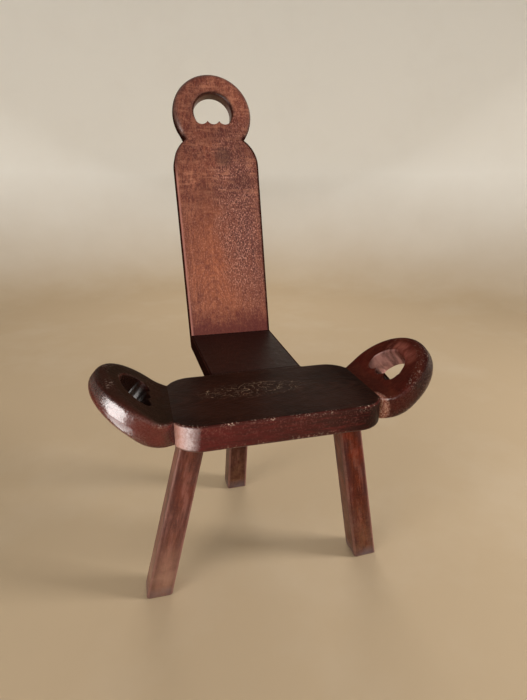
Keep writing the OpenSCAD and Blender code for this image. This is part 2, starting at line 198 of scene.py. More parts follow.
# %% [markdown]
# ## A board
#
# Seat, tail and plank are all boards: a row of half-widths along their length, each with the way out of
# the outline there. The two sides are profiles carried along the outline, the faces are rows straight
# across, and each end is closed by lines through the thickness. An extruded outline would fill each face
# with long thin triangles, which break up the gloss. An end can be cut at a slant, and its upper arris
# sinks a fraction of a millimetre where it meets another board, so that the glued joint shows as a fine
# line.

# %% Board
FACE_COLS = 49
ARRIS = 0.004


def board(along, half, out, th, low, up, slant=(None, None), seam=(0, 0), ends=(True, True)):
    """Sheets of a board. along and half are the outline of its right side, out its way out (n, 2), low and
    up its rounding as (left, right) pairs of arrays. An edge point is the outline less the way out times
    the profile's inset. Local axes are along, across and up."""
    last = (0, len(along) - 1)

    def finish(points):
        """Sinks the upper arris at a seam and slides a slanted end's points along."""
        for end in (0, 1):
            row = points[last[end]]
            row[:, 2] *= 1 - seam[end] / th
            if slant[end] is not None:
                row[:, 0] += slant[end](row[:, 2])
        return points

    sides = []
    for k, side in enumerate((-1, 1)):
        inset, height, wear, near = edge_profile(low[k], up[k], th)
        points = np.stack([along - out[:, 0] * inset, side * (half - out[:, 1] * inset), height], -1)
        sides.append(flat_sheet(finish(points.swapaxes(0, 1).copy()), wear.T, near.T))
    faces = []
    for step in (0, -1):
        left, right = sides[0].at[:, step], sides[1].at[:, step]
        inner = blend(left[:, 1:2] + ARRIS, right[:, 1:2] - ARRIS, np.linspace(0, 1, FACE_COLS - 2))
        width = np.hstack([left[:, 1:2], inner, right[:, 1:2]])
        face = np.stack([left[:, :1] + 0 * width, width, left[:, 2:] + 0 * width], -1)
        rim = np.zeros(width.shape)
        rim[:, [0, -1]] = 1
        for end in (0, 1):
            rim[last[end]] = np.maximum(rim[last[end]], 0.6 if ends[end] else 0)
        faces.append(flat_sheet(face, 0.25 * (rim == 1), rim))
    sheets = sides + faces
    for end in (0, 1):
        if ends[end]:
            row = last[end]
            edge = sides[0].at[row]
            t = (edge[:, 2] - edge[0, 2]) / (edge[-1, 2] - edge[0, 2])
            cap = blend(faces[0].at[row], faces[1].at[row], t[:, None, None])
            cap[:, 0], cap[:, -1] = sides[0].at[row], sides[1].at[row]
            sheets.append(flat_sheet(cap, 0.0, 1.0))
    return sheets

# %% [markdown]
# ## Seat
#
# The seat is a slab with four round corners, notched by the joints of the handles. It is treated as a
# board that runs from handle to handle: narrow at the joint, swelling round the corner and straight in
# between. The rear edge is square where the tail board meets it.

# %% Seat slab
corner_y = seat_d / 2 - corner_r
corner_in = joint_half - corner_y
corner_x = seat_w / 2 - sqrt(corner_r ** 2 - corner_in ** 2)
beta = np.linspace(asin(corner_in / corner_r), pi / 2, 15)
arc = np.stack([corner_x + corner_r * np.cos(beta), corner_y + corner_r * np.sin(beta)], -1)
arc_out = np.stack([np.cos(beta), np.sin(beta)], -1)
arc_out[0] = (0, 1)
root = tail_root_w / 2
middle = np.concatenate([np.linspace(corner_x, root + 0.0004, 5)[1:], np.linspace(root, -root, 33),
                         np.linspace(-root - 0.0004, -corner_x, 5)[:-1]])
along = np.concatenate([arc[:, 0], middle, -arc[::-1, 0]])[::-1]
half = np.concatenate([arc[:, 1], np.full(len(middle), seat_d / 2), arc[::-1, 1]])[::-1]
out = np.concatenate([arc_out, np.tile([0.0, 1.0], (len(middle), 1)), arc_out[::-1] * (-1, 1)])[::-1]
at_tail = np.abs(along) <= root + 1e-6
low, up = ((np.full(len(along), r), np.where(at_tail, glue_line, r)) for r in (seat_low_r, seat_up_r))
seat_sheets = board(along, half, out, seat_th, low, up, seam=(glue_line, glue_line))
seat = make_piece("seat_slab", moved(seat_sheets, lambda p: p + (0, seat_mid_y, seat_low)))
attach(seat, "root")
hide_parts("seat_board")

# %% [markdown]
# ## Tail board
#
# A plain board that widens a little towards the back. Its rear end is cut to the lean of the plank. A
# boolean cut would leave ragged faces, so the last row slides forward the lower it lies.

# %% Tail board
tail_turn = atan2((tail_end_w - tail_root_w) / 2, tail_l)
along = np.concatenate([[0.0, 0.0006], np.linspace(0.005, tail_l - 0.012, 30), [tail_l]])
half = tail_root_w / 2 + along * tan(tail_turn)
out = np.tile([-sin(tail_turn), cos(tail_turn)], (len(along), 1))
out[0] = (0, 1)
soft = np.full(len(along), tail_edge_r)
tail_sheets = board(along, half, out, tail_th, (soft, soft), (soft, soft),
                    slant=(None, lambda z: (z - tail_th) * tan(back_lean)), seam=(glue_line, 0))
tail = make_piece("tail_plank", moved(
    tail_sheets, lambda p: p[..., [1, 0, 2]] + (0, seat_mid_y + seat_d / 2, tail_low)))
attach(tail, "root")
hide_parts("tail_board")

# %% [markdown]
# ## A ring with a scalloped hole
#
# The handles and the head of the plank are the same carving: a disc cut off by a chord, pierced by a hole
# that is a plain arc on one side and three finger scallops on the other. A boolean could cut the hole,
# but not round its mouth by different amounts, so the surface is made of rings and closed like a tyre.
# Its rim rolls from a fine arris at the notches to a fat round at the tip, and the hole's mouth is
# rounded where the palm lies and crisp at the scallops.

# %% Hole and ring
RIM_COLS = 144
SCALLOP_COLS = (FACE_COLS - 1) // 3
HOLE_STEPS = 6
FACE_RINGS = 9


def hole_ring(radius, off, mid, step):
    """Hole outline at one step of its rounded mouth: an arc of the hole's radius round (mid, 0), closed by
    three arcs of the scallop radius whose centres stand off along the axis, one pitch apart. Step 0 lies
    in the face and is widest. Gives (along, across, depth)."""
    turn = pi / 2 * step / HOLE_STEPS
    wide, deep = 1 - sin(turn), 1 - cos(turn)
    rs, re = scallop_r + wide * scallop_round, radius + wide * scallop_round
    d = hypot(off, scallop_pitch)
    opening = atan2(scallop_pitch, off) + acos(min(1, (re * re + d * d - rs * rs) / (2 * re * d)))
    first = atan2(re * sin(opening) - scallop_pitch, re * cos(opening) - off)
    cusp = asin(scallop_pitch / 2 / rs)
    b = opening * np.linspace(-1, 1, RIM_COLS + 1)
    mouth = blend(scallop_round, hole_round, ease((opening - np.abs(b)) / radians(40)))
    r = radius + wide * mouth
    parts = [np.stack([mid + r * np.cos(b), r * np.sin(b), deep * mouth], -1)]
    for side, start, stop in ((1, first, pi + cusp), (0, pi - cusp, pi + cusp),
                              (-1, pi - cusp, 2 * pi - first)):
        b = np.linspace(start, stop, SCALLOP_COLS + 1)[1:None if side > -1 else -1]
        parts.append(np.stack([mid + off + rs * np.cos(b), side * scallop_pitch + rs * np.sin(b),
                               np.full(len(b), deep * scallop_round)], -1))
    return np.concatenate(parts)


def ring(rim, out, low, up, th, hole, chord, joint):
    """Sheets of a ring block. rim and out are its outline and way out, low and up the rounding along it,
    hole a function of the step, chord the (lower, upper) face points of its straight end, left to right,
    and joint the rim share there. A face is a straight mix of its outer edge and the hole's outline."""
    inset, height, wear, rim_share = edge_profile(low, up, th)
    band = np.concatenate([rim - out * inset[..., None], height[..., None]], -1)
    holes = [hole(step) for step in range(HOLE_STEPS + 1)]
    sheets = [flat_sheet(band, wear, rim_share)]
    t = np.concatenate([[0, 0.05, 0.14], np.linspace(0.25, 1, FACE_RINGS - 2)])[:, None, None]
    for k, edge in enumerate((band[0], band[-1])):
        outer = np.concatenate([edge, chord[k][-2:0:-1]])
        share = rim_share[-k]
        inner = holes[0] * (1, 1, -1 if k else 1) + (0, 0, th if k else 0)
        face = blend(outer, inner, t)
        face[1:, :, 2] = th if k else 0
        near = np.zeros(face.shape[:2])
        near[0] = np.concatenate([share, np.full(len(outer) - len(edge), joint)])
        near[1], near[-1] = 0.5 * near[0], 0.4
        worn = np.zeros(face.shape[:2])
        worn[0, :len(edge)], worn[-1] = 0.25, 0.2
        sheets.append(flat_sheet(face, worn, near, True))
    wall = [h * (1, 1, -1) + (0, 0, th) for h in holes] + [holes[-k - 1] for k in range(HOLE_STEPS + 1)]
    worn, near = (np.concatenate([np.linspace(*ends, 4), np.full(2 * HOLE_STEPS - 6, inside),
                                  np.linspace(*ends[::-1], 4)])
                  for ends, inside in (((0.2, 0.35), 0.0), ((0.4, 1.0), 1.0)))
    sheets.append(flat_sheet(np.stack(wall), worn[:, None], near[:, None], True))
    return sheets

# %% [markdown]
# ## Ring handles
#
# Each handle is carved from a block glued to the end of the seat. It runs on flat, bends up through a
# hollow and rises at 41.5 degrees. A Simple Deform modifier would stretch it, so the ring is first made
# flat and then curled: along the block's middle layer the bend uses up a fixed length, and everything
# past it goes straight on up the tilt.

# %% Handles
def curl(points):
    """Rolls flat points up. The angle grows evenly along the bend's middle layer to the tilt, the radius is
    that of the bend less the height above the upper face, and the rest goes straight on."""
    bend_l = (bend_r + seat_th / 2) * ring_tilt
    a = np.clip(points[..., 0], 0, bend_l) / bend_l * ring_tilt
    on = np.maximum(points[..., 0] - bend_l, 0)
    r = bend_r + seat_th - points[..., 2]
    return np.stack([r * np.sin(a) + on * np.cos(a), points[..., 1],
                     bend_r + seat_th - r * np.cos(a) + on * np.sin(a)], -1)


opening = acos(-ring_reach / ring_r)
a = opening * np.linspace(-1, 1, RIM_COLS + 1)
hair = 0.00002
rim = np.stack([ring_reach + (ring_r - hair) * np.cos(a), (ring_r - hair) * np.sin(a)], -1)
rim[[0, -1]] = (0, -joint_half), (0, joint_half)
rim_out = np.stack([np.cos(a), np.sin(a)], -1)
rim_out[0], rim_out[-1] = (0, -1), (0, 1)
rim_up = blend(*handle_up_r, ease(rim[:, 0] / (ring_reach + ring_r)))
rim_low = blend(*handle_low_r, ease(rim[:, 0] / joint_half))
chord = [np.stack([np.zeros(FACE_COLS), np.linspace(-1, 1, FACE_COLS) * (joint_half - inset),
                   np.full(FACE_COLS, z)], -1)
         for inset, z in ((handle_low_r[0], 0.0), (handle_up_r[0], seat_th - glue_line))]
handle_sheets = ring(
    rim, rim_out, rim_low, rim_up, seat_th,
    lambda step: hole_ring(hand_hole_r, hand_scallop_off, ring_reach + hand_hole_off, step), chord, 0.6)
side = handle_sheets[0].at
t = (side[:, 0, 2] / seat_th)[:, None, None]
joint_face = blend(*chord, t)
joint_face[:, 0], joint_face[:, -1] = side[:, 0], side[:, -1]
handle_sheets.append(flat_sheet(joint_face, 0.0, 1.0))
handle_sheets = moved(handle_sheets, curl)
for name, node, way in (("right_ring_handle", "right_handle", 1), ("left_ring_handle", "left_handle", -1)):
    handle = make_piece(name, moved(
        handle_sheets, lambda p: (p + (seat_w / 2, seat_mid_y, seat_low)) * (way, 1, 1)))
    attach(handle, "root")
    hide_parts(node)

# %% [markdown]
# ## Plank back
#
# One plank, tapered towards the seat, with a round shoulder on each side and the ring head above. The
# board part runs from the foot up to the line between the two notches, where the ring takes over with the
# same points, so that the two sew into one closed surface. At a notch both outlines share one slanted way
# out, as two mitred mouldings do. Made apart and pushed together, they would show a line across the neck.

# %% Plank and ring head
head_l = shoulder_l + neck_l
shoulder_x = back_top_w / 2 - shoulder_r
shoulder_d = hypot(tail_end_w / 2 - shoulder_x, shoulder_l)
back_turn = asin(shoulder_r / shoulder_d) - atan2(tail_end_w / 2 - shoulder_x, shoulder_l)
notch_d = hypot(shoulder_x, neck_l)
notch_in = (head_r ** 2 - shoulder_r ** 2 + notch_d ** 2) / (2 * notch_d)
notch_out = sqrt(head_r ** 2 - notch_in ** 2)
notch_w = (notch_in * shoulder_x + notch_out * neck_l) / notch_d
notch_l = head_l + (-notch_in * neck_l + notch_out * shoulder_x) / notch_d
shoulder_turn = atan2(notch_l - shoulder_l, notch_w - shoulder_x)
n1 = np.array([sin(shoulder_turn), cos(shoulder_turn)])
n2 = np.array([(notch_l - head_l) / head_r, notch_w / head_r])
mitre = (n1 + n2) / (1 + n1 @ n2)
print("notch at", round(notch_w, 4), round(notch_l, 4), "way out", mitre.round(2))

foot = -tail_th / cos(back_lean)
tangent = shoulder_l - shoulder_r * sin(back_turn)
straight = np.concatenate([[foot, -0.014], np.linspace(-0.008, tangent, 64)])
beta = np.linspace(-back_turn, shoulder_turn, 25)[1:]
along = np.concatenate([straight, shoulder_l + shoulder_r * np.sin(beta)])
half = np.concatenate([tail_end_w / 2 + straight * tan(back_turn), shoulder_x + shoulder_r * np.cos(beta)])
out = np.concatenate([np.tile([-sin(back_turn), cos(back_turn)], (len(straight), 1)),
                      np.stack([np.sin(beta), np.cos(beta)], -1)])
out[0], out[-1] = (0, 1), mitre
soft = np.full(len(along), plank_edge_r)
plank_sheets = board(along, half, out, back_th, (soft, soft), (soft, soft),
                     slant=(lambda z: (back_th - z) * tan(back_lean), None), ends=(True, False))

opening = acos((notch_l - head_l) / head_r)
a = opening * np.linspace(-1, 1, RIM_COLS + 1)
rim = np.stack([head_l + head_r * np.cos(a), head_r * np.sin(a)], -1)
rim_out = np.stack([np.cos(a), np.sin(a)], -1)
rim_out[0], rim_out[-1] = mitre * (1, -1), mitre
head_round = blend(plank_edge_r, head_tip_r, ease((rim[:, 0] - notch_l) / 0.014))
chord = (plank_sheets[2].at[-1], plank_sheets[3].at[-1])
head_sheets = ring(rim, rim_out, head_round, head_round, back_th,
                   lambda step: hole_ring(head_hole_r, -head_scallop_off, head_l, step), chord, 0.0)


def lean(points):
    """Stands the plank up: along goes up the lean, and the front face lies in the plane that crosses the
    tail's top at plank_y."""
    x, y, z = points[..., 1], points[..., 0], points[..., 2] - back_th
    return np.stack([x, plank_y + y * sin(back_lean) - z * cos(back_lean),
                     seat_h + y * cos(back_lean) + z * sin(back_lean)], -1)


plank = make_piece("back_plank", moved(plank_sheets + head_sheets, lean))
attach(plank, "root")
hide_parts("backrest")

# %% [markdown]
# ## Plugs
#
# Behind the foot of the plank three wooden plugs cover the screws. A plug is trimmed almost flush, so it
# shows as a faint disc that stands a hair proud. It is a disc swept from its middle out to its edge and
# then in along the hole, because a plain cylinder would show a hard black rim.

# %% Plugs
phi = np.linspace(0, 2 * pi, 48, endpoint=False)[None, :]
rho = plug_r * np.array([0, 0.35, 0.7, 0.9, 0.97, 1.0])[:, None]
plug_sheets = []
plug_z = seat_h - tail_th / 2
for plug_x in (-plug_pitch, 0.0, plug_pitch):
    x, z = plug_x + rho * np.cos(phi), plug_z + rho * np.sin(phi)
    back_y = plank_y + (z - seat_h) * tan(back_lean) + back_th / cos(back_lean)
    top = np.stack([x, back_y + plug_proud - 0.0001 * (rho / plug_r) ** 4, z], -1)
    inner = top[-1:].copy()
    inner[..., 1] = back_y.min() - plug_deep
    bottom = inner.copy()
    bottom[..., 0], bottom[..., 2] = plug_x, plug_z
    worn = np.array([0, 0, 0, 0.1, 0.3, 0.6, 0, 0])[:, None]
    plug_sheets.append(flat_sheet(np.concatenate([top, inner, bottom]), worn, 0.6 * (worn > 0), True))
plugs = make_piece("back_plugs", plug_sheets)
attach(plugs, "root")
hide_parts("backrest_plugs")

# %% [markdown]
# ## Legs
#
# A leg is a square bar with worn arrises that thickens towards the floor, cut level at both ends. A
# turned box would end in slanted soles. Here each of its long lines is a straight line in space, so a row
# is where all those lines cross one level. The foot's rim is chipped round. A round tenon on top goes up
# into the socket.

# %% Legs
def leg_piece(name, top, foot_at, under, th):
    """Leg from its foot on the floor to the board's underside. Lines: the point on the axis plus the
    section's corner direction times a half-width that shrinks evenly upwards, solved for the level."""
    start = np.array([*foot_at, 0.0])
    way = np.array([*top, under]) - start
    length = np.linalg.norm(way)
    axis = way / length
    turn = np.array(Matrix.Rotation(atan2(axis[0], axis[2]), 3, "Y")
                    @ Matrix.Rotation(-asin(axis[1]), 3, "X"))
    b, t, flat = 1 - leg_round / (leg_foot_w / 2), np.linspace(0, pi / 2, 7), np.linspace(-1, 1, 8)[1:-1]
    edge = np.stack([np.append(b + (1 - b) * np.cos(t), -flat * b),
                     np.append(b + (1 - b) * np.sin(t), np.ones(6))], -1)
    loop = np.concatenate([edge @ np.linalg.matrix_power([[0, 1], [-1, 0]], k) for k in range(4)])
    worn = np.tile(np.append(0.3 + 0.7 * np.sin(2 * t), np.zeros(6)), 4)
    near = np.tile(np.append(np.ones(7), flat ** 2), 4)
    sole = [0.0, 0.0004, 0.0012, 0.0025]
    level = np.concatenate([sole, [0.005], np.linspace(0.012, under, 64)])
    shrink = np.interp(level, sole, [0.0022, 0.0011, 0.0004, 0.0])
    slope = (leg_top_w - leg_foot_w) / 2 / length
    k = loop @ turn[2, :2]
    base, level = (leg_foot_w / 2 - shrink)[:, None], level[:, None]
    s = ((level - base * k) / (turn[2, 2] + slope * k))[..., None]
    grain = np.concatenate([s, loop * (base[..., None] + slope * s)], -1)
    rows = start + grain @ turn[:, [2, 0, 1]].T
    rows[..., 2] = level
    wear = np.maximum(worn, 0.8 * (level <= sole[-1]))
    sheets = [Sheet(rows, grain, wear, np.broadcast_to(near, wear.shape), True)]
    for row in (0, -1):
        t = np.array([0, 0.35, 0.7, 1.0])[:, None, None]
        cap = [blend(sheet[row], sheet[row].mean(0), t) for sheet in (rows, grain)]
        sheets.append(Sheet(*cap, np.zeros(cap[0].shape[:2]), np.ones(cap[0].shape[:2]), True))
    deep = (th - socket_cover) * length / under
    radii = tenon_d / 2 * np.array([0, 1, 1, 0.94, 0])[:, None]
    heights = length + np.array([-0.012, -0.012, deep - 0.001, deep, deep])[:, None]
    tenon = np.stack([radii * np.cos(phi), radii * np.sin(phi), heights + 0 * phi], -1)
    sheets.append(flat_sheet(start + tenon @ turn.T, wrap=True))
    return make_piece(name, sheets)


legs = []
for name, node, side, top, foot_at, under, th in (
        ("right_front_leg", "front_right_leg", 1, front_top, front_foot, seat_low, seat_th),
        ("left_front_leg", "front_left_leg", -1, front_top, front_foot, seat_low, seat_th),
        ("back_leg", "rear_leg", 1, rear_top, rear_foot, tail_low, tail_th)):
    top, foot_at = ((side * x, seat_mid_y + y) for x, y in (top, foot_at))
    leg = leg_piece(name, top, foot_at, under, th)
    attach(leg, "root")
    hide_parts(node)
    legs.append(leg)

# %% [markdown]
# ## Stained wood
#
# All the wood is stained a deep red-brown and polished by use. A picture of wood would blur close up and
# break off at each board's edge, so one recipe of nodes serves every board. It reads the piece's own
# grain attribute, so the growth rings and fibres run along each board, also round the bend of a handle
# and up a leaning leg. A board sawn from near the outside of a log shows its rings as nested arches:
# along the grain plus a square of the distance from the middle. On top of that come clouds where the
# stain took unevenly, fibres, small specks, a darker rim and rubbed arrises, which on the legs and the
# plank also carry painted highlights.

# %% Wood recipe
def srgb(r, g, b):
    """A colour as seen on screen, 0 to 255, as the linear one that a shader takes."""
    c = np.array([r, g, b]) / 255
    return tuple(np.where(c <= 0.04045, c / 12.92, ((c + 0.055) / 1.055) ** 2.4)) + (1.0,)


class Nodes:
    """Adds shader nodes to a new material and wires them."""

    def __init__(self, name):
        """Starts a material with no nodes in it."""
        self.material = bpy.data.materials.new(name)
        self.material.use_nodes = True
        self.tree = self.material.node_tree
        self.tree.nodes.clear()

    def wire(self, socket, value):
        """Links another node's output, or sets a plain value on the socket itself."""
        if isinstance(value, bpy.types.NodeSocket):
            self.tree.links.new(value, socket)
        else:
            socket.default_value = value

    def add(self, kind, inputs=None, **settings):
        """A new node with its settings and inputs."""
        node = self.tree.nodes.new(kind)
        for key, value in settings.items():
            setattr(node, key, value)
        for key, value in (inputs or {}).items():
            self.wire(node.inputs[key], value)
        return node

    def math(self, operation, *values):
        """One step of arithmetic, on one value or two."""
        return self.add("ShaderNodeMath", dict(enumerate(values)), operation=operation).outputs[0]

    def times(self, *values):
        """All values multiplied."""
        return reduce(lambda a, b: self.math("MULTIPLY", a, b), values)

    def plus(self, *values):
        """All values added up."""
        return reduce(lambda a, b: self.math("ADD", a, b), values)

    def ramp(self, value, low, high, a=0.0, b=1.0):
        """Maps value from low..high to a..b and stops there."""
        return self.add("ShaderNodeMapRange", {"Value": value, "From Min": low, "From Max": high,
                                               "To Min": a, "To Max": b}).outputs["Result"]

    def noise(self, where, scale, detail=2.0, rough=0.5):
        """Clouds round a mean of one half, scale to the metre."""
        return self.add("ShaderNodeTexNoise", {"Vector": where, "Scale": scale, "Detail": detail,
                                               "Roughness": rough}).outputs["Fac"]

    def tint(self, share, a, b):
        """Colour a with a share of colour b over it. Either may be given as seen on screen."""
        node = self.add("ShaderNodeMix", data_type="RGBA", blend_type="MIX")
        for k, value in ((0, share), (6, a), (7, b)):
            self.wire(node.inputs[k], srgb(*value) if isinstance(value, tuple) else value)
        return node.outputs[2]

    def coats(self, colour, *layers):
        """A colour with (share, colour) layers painted over it one after the other."""
        for share, over in layers:
            colour = self.tint(share, colour, over)
        return colour

    def place(self):
        """The point's place on the object, in metres."""
        return self.add("ShaderNodeTexCoord").outputs["Object"]

    def split(self, vector):
        """The three parts of a vector."""
        node = self.add("ShaderNodeSeparateXYZ", {"Vector": vector})
        return [node.outputs[k] for k in range(3)]

    def normal(self):
        """The way that the surface faces, as x, y and z."""
        return self.split(self.add("ShaderNodeNewGeometry").outputs["Normal"])

    def own(self, key):
        """What make_piece wrote on the points under this name."""
        return self.add("ShaderNodeAttribute", attribute_name=key).outputs["Vector"]

    def stretch(self, vector, *scale):
        """The vector with each part multiplied by its scale."""
        return self.add("ShaderNodeMapping", {"Vector": vector, "Scale": scale}).outputs[0]

    def spot(self, axes, middle, reach):
        """Square of the distance from a place, measured in reaches, so that 1 is the spot's border."""
        parts = [self.math("DIVIDE", self.math("SUBTRACT", axis, m), r)
                 for axis, m, r in zip(axes, middle, reach)]
        return self.plus(*[self.times(part, part) for part in parts])

    def finish(self, **inputs):
        """Ends the material in a shader whose sockets are named here with _ for a space."""
        inputs = {key.replace("_", " "): value for key, value in inputs.items()}
        shader = self.add("ShaderNodeBsdfPrincipled", inputs)
        self.add("ShaderNodeOutputMaterial", {"Surface": shader.outputs[0]})
        return self.material


def stained_wood(name, dark, base, light, rim, arris, chip, own=True, apex=(0.0, 0.0), arch=76.0,
                 ring_gap=0.028, ring_share=0.4, rim_share=0.8, arris_share=0.7, chip_share=0.0, mottle=0.5,
                 relief=1.0, gloss=(0.3, 0.44), specular=0.3, coat=0.0, shine=None, extra=None):
    """Stained wood, painted in layers from the base colour. apex and arch set the growth rings' arches.
    extra paints over the colour, and shine gives the share of the gloss that is left where dust and wear
    have dulled the polish. rim and arris are colours, or functions that give one for the board's own
    axes."""
    n = Nodes(name)
    plain = n.place()
    grain = n.own("grain") if own else plain
    axes = n.split(grain)
    along, over = axes[:2]
    wear, near = n.split(n.own("paint"))[:2]
    clouds = n.noise(plain, 11.0, 4.0, 0.6)
    fibre = n.noise(n.stretch(grain, 1, 16, 16), 34.0, 4.0, 0.65)
    speck = n.noise(plain, 430.0, 2.0, 0.65)
    off = n.math("SUBTRACT", over, apex[1])
    wobble = n.times(n.noise(plain, 9.0, 3.0, 0.5), 0.035)
    phase = n.plus(along, -apex[0], n.times(off, off, arch), wobble)
    rings = n.math("SINE", n.times(phase, 2 * pi / ring_gap))
    colour = n.coats(
        n.tint(n.ramp(clouds, 0.3, 0.66), dark, base),
        (n.times(n.ramp(rings, 0.0, 1.0), n.ramp(clouds, 0.35, 0.6), ring_share), light),
        (n.ramp(rings, -0.6, -1.0, 0.0, ring_share), dark),
        (n.ramp(fibre, 0.5, 0.7, 0.0, 0.5), light),
        (n.ramp(fibre, 0.48, 0.3, 0.0, 0.6), dark),
        (n.ramp(speck, 0.53, 0.66, 0.0, mottle), light),
        (n.ramp(speck, 0.46, 0.34, 0.0, mottle), dark))
    if extra:
        colour = extra(n, colour, plain, axes, near, speck)
    rim, arris = (shade(n, *axes) if callable(shade) else shade for shade in (rim, arris))
    patchy = n.ramp(n.noise(plain, 130.0, 3.0, 0.6), 0.3, 0.6, 0.75, 1.0)
    # The arris layer: rubbed wear, which on the legs and the plank also stands for painted highlights.
    rubbed_and_highlight = n.times(n.ramp(wear, 0.25, 0.85), n.ramp(n.noise(plain, 24.0, 3.0, 0.6), 0.3, 0.6, 0.35, 1.0))
    chips = n.times(n.ramp(n.noise(plain, 360.0, 3.0, 0.7), 0.57, 0.62),
                    n.ramp(n.noise(plain, 36.0, 2.0), 0.42, 0.62), n.ramp(wear, 0.05, 0.5))
    colour = n.coats(
        colour,
        (n.times(n.ramp(near, 0.1, 0.9), patchy, rim_share), rim),
        (n.times(rubbed_and_highlight, arris_share), arris),
        (n.times(chips, chip_share), chip))
    rough = n.ramp(n.plus(n.times(fibre, 0.5), n.times(speck, 0.5)), 0.38, 0.62, *gloss)
    height = n.plus(n.times(fibre, 0.6), n.noise(plain, 340.0, 1.0, 0.5),
                    n.times(n.noise(plain, 60.0, 2.0, 0.5), 3.0))
    bump = n.add("ShaderNodeBump", {"Height": height, "Strength": 1.0, "Distance": 0.00022 * relief})
    if shine:
        left = shine(n, plain, n.normal(), near)
        specular, coat = (n.times(left, value) if value else value for value in (specular, coat))
    return n.finish(Base_Color=colour, Roughness=rough, Normal=bump.outputs[0], Specular_IOR_Level=specular,
                    Coat_Weight=coat, Coat_Roughness=0.12)


def paint(piece, material):
    """Gives a piece one material and no other."""
    piece.data.materials.clear()
    piece.data.materials.append(material)


def dress(piece, material):
    """Gives a piece its finish."""
    paint(piece, material)

# %% [markdown]
# ## Seat and tail
#
# Both are almost black on top, from polish and dirt and from painted shade, and a deep red on their sides.
# The seat's front is painted redder towards its lit left end and near black at its right end, as painted
# shade where it turns away from the light. The middle of the seat has short wandering scratches: thin
# lines where a smooth noise passes its mean, kept only in places. The left front corner has lost its stain
# and is painted pale, as wear and as a painted reflection of bright light low on the left, and small chips
# dot the front arris. Cut into the mesh, such lines would need far finer faces, so all of it is colour.

# %% Seat and tail
def seat_marks(n, colour, plain, axes, near, speck):
    """Scratches, painted light and shade on the front, and a corner worn pale with a painted reflection."""
    x, y, z = n.split(plain)
    patch = n.ramp(n.spot((x, y), (-0.024, seat_mid_y + 0.013), (0.085, 0.027)), 1.2, 0.3)
    for scale, keep in ((84.0, 0.46), (150.0, 0.48)):
        passing = n.math("ABSOLUTE", n.plus(n.noise(plain, scale, 0.0), -0.5))
        kept = n.ramp(n.noise(plain, 1.1 * scale, 2.0), keep, keep + 0.05)
        line = n.times(n.ramp(passing, 0.018, 0.004), kept, patch, n.ramp(z, seat_h - 0.001, seat_h), 0.75)
        colour = n.tint(line, colour, (158, 132, 110))
    streak = n.noise(n.stretch(plain, 1, 9, 9), 40.0, 4.0, 0.65)
    dots = n.times(n.ramp(speck, 0.54, 0.66), n.ramp(z, seat_h - 0.03, seat_h - 0.004, 0.06, 0.4))
    # Painted light and shade: redder to the lit left, near black at the right end that turns away.
    side = n.coats(
        n.tint(n.ramp(x, 0.13, -0.11), (33, 8, 7), (84, 22, 22)),
        (n.ramp(streak, 0.52, 0.68, 0.0, 0.4), (106, 30, 29)),
        (n.ramp(streak, 0.5, 0.34, 0.0, 0.5), (40, 15, 14)),
        (dots, (140, 88, 80)),
        (n.ramp(x, 0.10, 0.14, 0.0, 0.9), (14, 5, 4)))
    below = n.ramp(z, seat_h - 0.0008, seat_h - 0.003)
    # The pale corner: worn wood and a painted reflection of bright light low on the left.
    edge = n.plus(x, n.times(speck, 0.006), n.times(n.noise(plain, 45.0, 3.0), 0.016), n.times(z, -0.12))
    corner = n.times(n.ramp(edge, -0.143, -0.157), below, n.ramp(y, seat_mid_y, seat_mid_y - 0.05))
    worn = n.ramp(n.noise(plain, 240.0, 4.0, 0.75), 0.38, 0.6)
    pale = n.coats(
        n.tint(worn, (172, 142, 140), (216, 198, 202)),
        (n.ramp(x, -0.130, -0.139, 0.0, 0.7), (190, 126, 104)))
    return n.coats(colour, (n.times(below, 0.95), side), (n.times(corner, 0.9), pale))


def worn_top(n, plain, way, near):
    """Surfaces that face up are dull."""
    return n.ramp(way[2], 0.2, 0.65, 1.0, 0.08)


def dull_sides(n, plain, way, near):
    """The sides aren't polished."""
    return n.ramp(near, 0.4, 0.9, 1.0, 0.0)


def seat_shine(n, plain, way, near):
    """Dull on top and towards the right end."""
    return n.times(worn_top(n, plain, way, near), n.ramp(n.split(plain)[0], 0.06, 0.13, 1.0, 0.2))


# The dark base colours are polish and dirt, and painted shade on the top, where little light falls.
seat_finish = stained_wood(
    "seat_stain", (20, 9, 6), (38, 20, 14), (54, 29, 21), (74, 33, 28), (82, 38, 34),
    (206, 176, 158), rim_share=0.0, arris_share=0.6, chip_share=0.75, mottle=0.3, gloss=(0.28, 0.42),
    coat=0.1, shine=seat_shine, extra=seat_marks)
dress(seat, seat_finish)
# Its dark top is polish and dirt, and painted shade as well.
tail_finish = stained_wood(
    "tail_stain", (20, 9, 7), (36, 17, 13), (50, 25, 20), (30, 14, 11), (62, 32, 27),
    (120, 90, 76), arris_share=0.5, chip_share=0.2, mottle=0.2, gloss=(0.34, 0.48), specular=0.1,
    shine=dull_sides)
dress(tail, tail_finish)

# %% [markdown]
# ## Handles
#
# Hands polish them, so they are the glossiest, with a leathery relief that breaks up every highlight. The
# sides that face up are painted nearly black as shade, and so are the right handle's outer side and the
# wall of the left hand hole. The left handle's lower flank is painted a brighter crimson for light that
# the floor throws up. Next to the joint the right handle's front side is painted pale where the light
# from the left falls, and the wall of its hole and the rim above it carry painted highlights. One even
# stain under a clear coat would look like plastic, so each zone is a layer of its own, laid by its place
# or by the way that it faces.

# %% Handles
def hand_hole(n, plain):
    """The zone of both hand holes, seen from above."""
    x, y = n.split(plain)[:2]
    return n.ramp(n.spot((n.math("ABSOLUTE", x), y), (0.2, seat_mid_y), (0.034, 0.042)), 1.3, 0.9)


